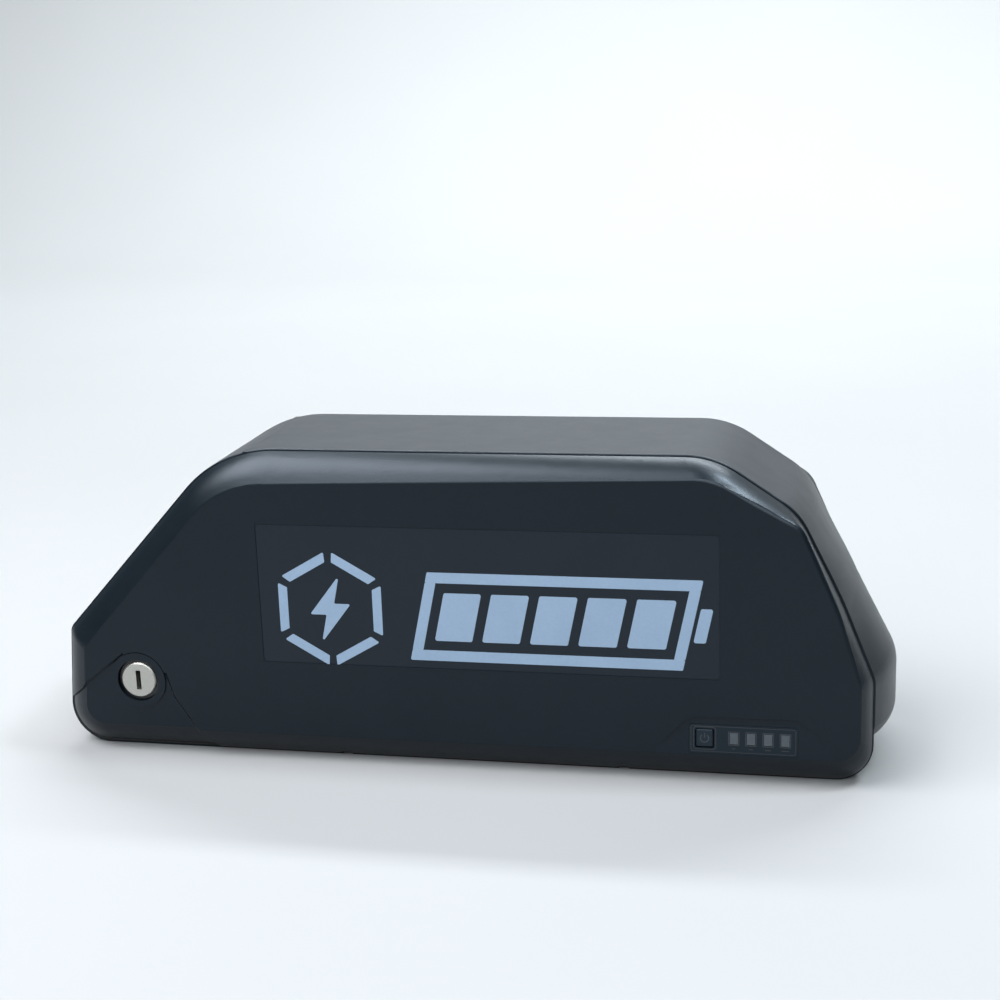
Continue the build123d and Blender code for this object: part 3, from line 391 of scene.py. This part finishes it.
def label_print():
    """Border, lamp window frames and level dashes on the indicator label."""
    bm = bmesh.new()
    place = label_plane(label_centre, LABEL_FRONT)
    thick = LABEL_PRINT_THICKNESS
    border = centred(0, 0, 42.6 * MM, 10.9 * MM, 0.9 * MM)
    frame_line(bm, border, centred(0, 0, 42.1 * MM, 10.4 * MM, 0.7 * MM), place, thick)
    for index in range(LAMP_COUNT):
        x = LAMP_FIRST + LAMP_PITCH * index
        outer = centred(x, LAMP_RISE, 4.6 * MM, 6.0 * MM, 0.5 * MM)
        frame_line(bm, outer, centred(x, LAMP_RISE, 3.8 * MM, 5.2 * MM, 0.3 * MM), place, thick)
        dash = centred(x, -3.75 * MM, (1.0 + 0.7 * index) * MM, 0.45 * MM, 0.1 * MM)
        raised(bm, dash, place, thick)
    x = (BUTTON[0].x + BUTTON[1].x) / 2 - label_centre.x
    outer = centred(x, BUTTON_RISE, 9.4 * MM, 9.8 * MM, 1.3 * MM)
    frame_line(bm, outer, centred(x, BUTTON_RISE, 8.8 * MM, 9.2 * MM, 1.0 * MM), place, thick)
    ink = printed("label_ink", (0.010, 0.013, 0.016), (0.013, 0.016, 0.020))
    finished("label_print", bm, "pack", ink)


def button_mark():
    """Power sign on the button: an open ring and a bar."""
    bm = bmesh.new()
    centre = (BUTTON[0] + BUTTON[1]) / 2
    across = Matrix.Translation((centre.x - label_centre.x, BUTTON_RISE, 0))
    place = label_plane(label_centre, BUTTON_FRONT) @ across
    outer, inner, steps = 1.9 * MM, 1.5 * MM, 20
    first, sweep = math.radians(128), math.radians(284)
    for index in range(steps):
        a0 = first + sweep * index / steps
        a1 = first + sweep * (index + 1) / steps
        side = [(outer, a0), (outer, a1), (inner, a1), (inner, a0)]
        points = [Vector((reach * math.cos(a), reach * math.sin(a))) for reach, a in side]
        raised(bm, points, place, BUTTON_PRINT_THICKNESS)
    raised(bm, centred(0, 1.2 * MM, 0.42 * MM, 2.0 * MM, 0.1 * MM), place, BUTTON_PRINT_THICKNESS)
    ink = printed("button_ink", (0.017, 0.021, 0.026), (0.021, 0.026, 0.032))
    finished("button_mark", bm, "button", ink)


label_print()
button_mark()


# ---------------------------------------------------------------- studio
def backdrop():
    """Pale floor that curves up into a wall behind the pack."""
    half, front, depth, radius, height, steps, drop = 3.0, -3.0, 1.6, 0.6, 2.4, 12, 0.0002
    profile = [(front, 0.0), (depth, 0.0)]
    for step in range(1, steps + 1):
        angle = math.pi / 2 * step / steps
        profile.append((depth + radius * math.sin(angle), radius - radius * math.cos(angle)))
    profile.append((depth + radius, height))
    bm = bmesh.new()
    rows = [[bm.verts.new((x, y, z - drop)) for y, z in profile] for x in (-half, half)]
    for index in range(len(profile) - 1):
        bm.faces.new((rows[0][index], rows[1][index], rows[1][index + 1], rows[0][index + 1]))
    mesh = bpy.data.meshes.new("studio_floor")
    bm.to_mesh(mesh)
    bm.free()
    for polygon in mesh.polygons:
        polygon.use_smooth = True
    floor = bpy.data.objects.new("studio_floor", mesh)
    scene.collection.objects.link(floor)
    paper = Shader("studio_paper")
    paper.feed("Base Color", paper.colours(paper.noise(3), (0.232, 0.235, 0.239), (0.248, 0.251, 0.256)))
    paper.set(Roughness=0.9, Specular_IOR_Level=0.2)
    mesh.materials.append(paper.material)


def softbox(name, place, target, size, power, colour):
    """Rectangular area light aimed at a point."""
    light = bpy.data.lights.new(name, "AREA")
    light.shape = "RECTANGLE"
    light.size, light.size_y = size
    light.energy = power
    light.color = colour
    lamp = bpy.data.objects.new(name, light)
    lamp.location = place
    lamp.rotation_euler = (Vector(target) - Vector(place)).to_track_quat("-Z", "Y").to_euler()
    scene.collection.objects.link(lamp)


def camera():
    """The camera: a slightly raised view from the front, a little to the right."""
    azimuth, elevation, roll = math.radians(12.40), math.radians(14.53), math.radians(1.95)
    forward = Vector((
        -math.sin(azimuth) * math.cos(elevation),
        math.cos(azimuth) * math.cos(elevation),
        -math.sin(elevation),
    ))
    level = Vector((math.cos(azimuth), math.sin(azimuth), 0))
    upright = level.cross(forward)
    right = level * math.cos(roll) - upright * math.sin(roll)
    up = level * math.sin(roll) + upright * math.cos(roll)
    data = bpy.data.cameras.new("camera")
    data.sensor_width = 36
    data.lens = 62.68
    view = bpy.data.objects.new("camera", data)
    turn = Matrix((right, up, -forward)).transposed().to_4x4()
    view.matrix_world = Matrix.Translation((0.16775, -0.711, 0.295)) @ turn
    scene.collection.objects.link(view)
    scene.camera = view


backdrop()
camera()
softbox("key_light", (-0.60, -0.40, 1.10), (-0.05, 0.0, 0.1), (0.85, 0.85), 32, (0.97, 0.98, 1.0))
softbox("right_light", (0.66, 0.03, 1.10), (0.14, -0.03, 0.12), (0.17, 0.32), 14, (0.86, 0.95, 1.0))
softbox("front_light", (0.1, -1.25, 0.85), (0.0, 0.0, 0.02), (1.6, 0.6), 22, (0.94, 0.98, 1.0))
softbox("wall_light", (0.0, 1.3, 2.1), (0.0, 2.2, 0.6), (2.4, 0.5), 194, (0.93, 0.98, 1.0))
world = bpy.data.worlds.new("studio")
scene.world = world
world.use_nodes = True
world.node_tree.nodes["Background"].inputs["Color"].default_value = (0.62, 0.82, 1.0, 1)
world.node_tree.nodes["Background"].inputs["Strength"].default_value = 0.12
scene.view_settings.view_transform = "Standard"
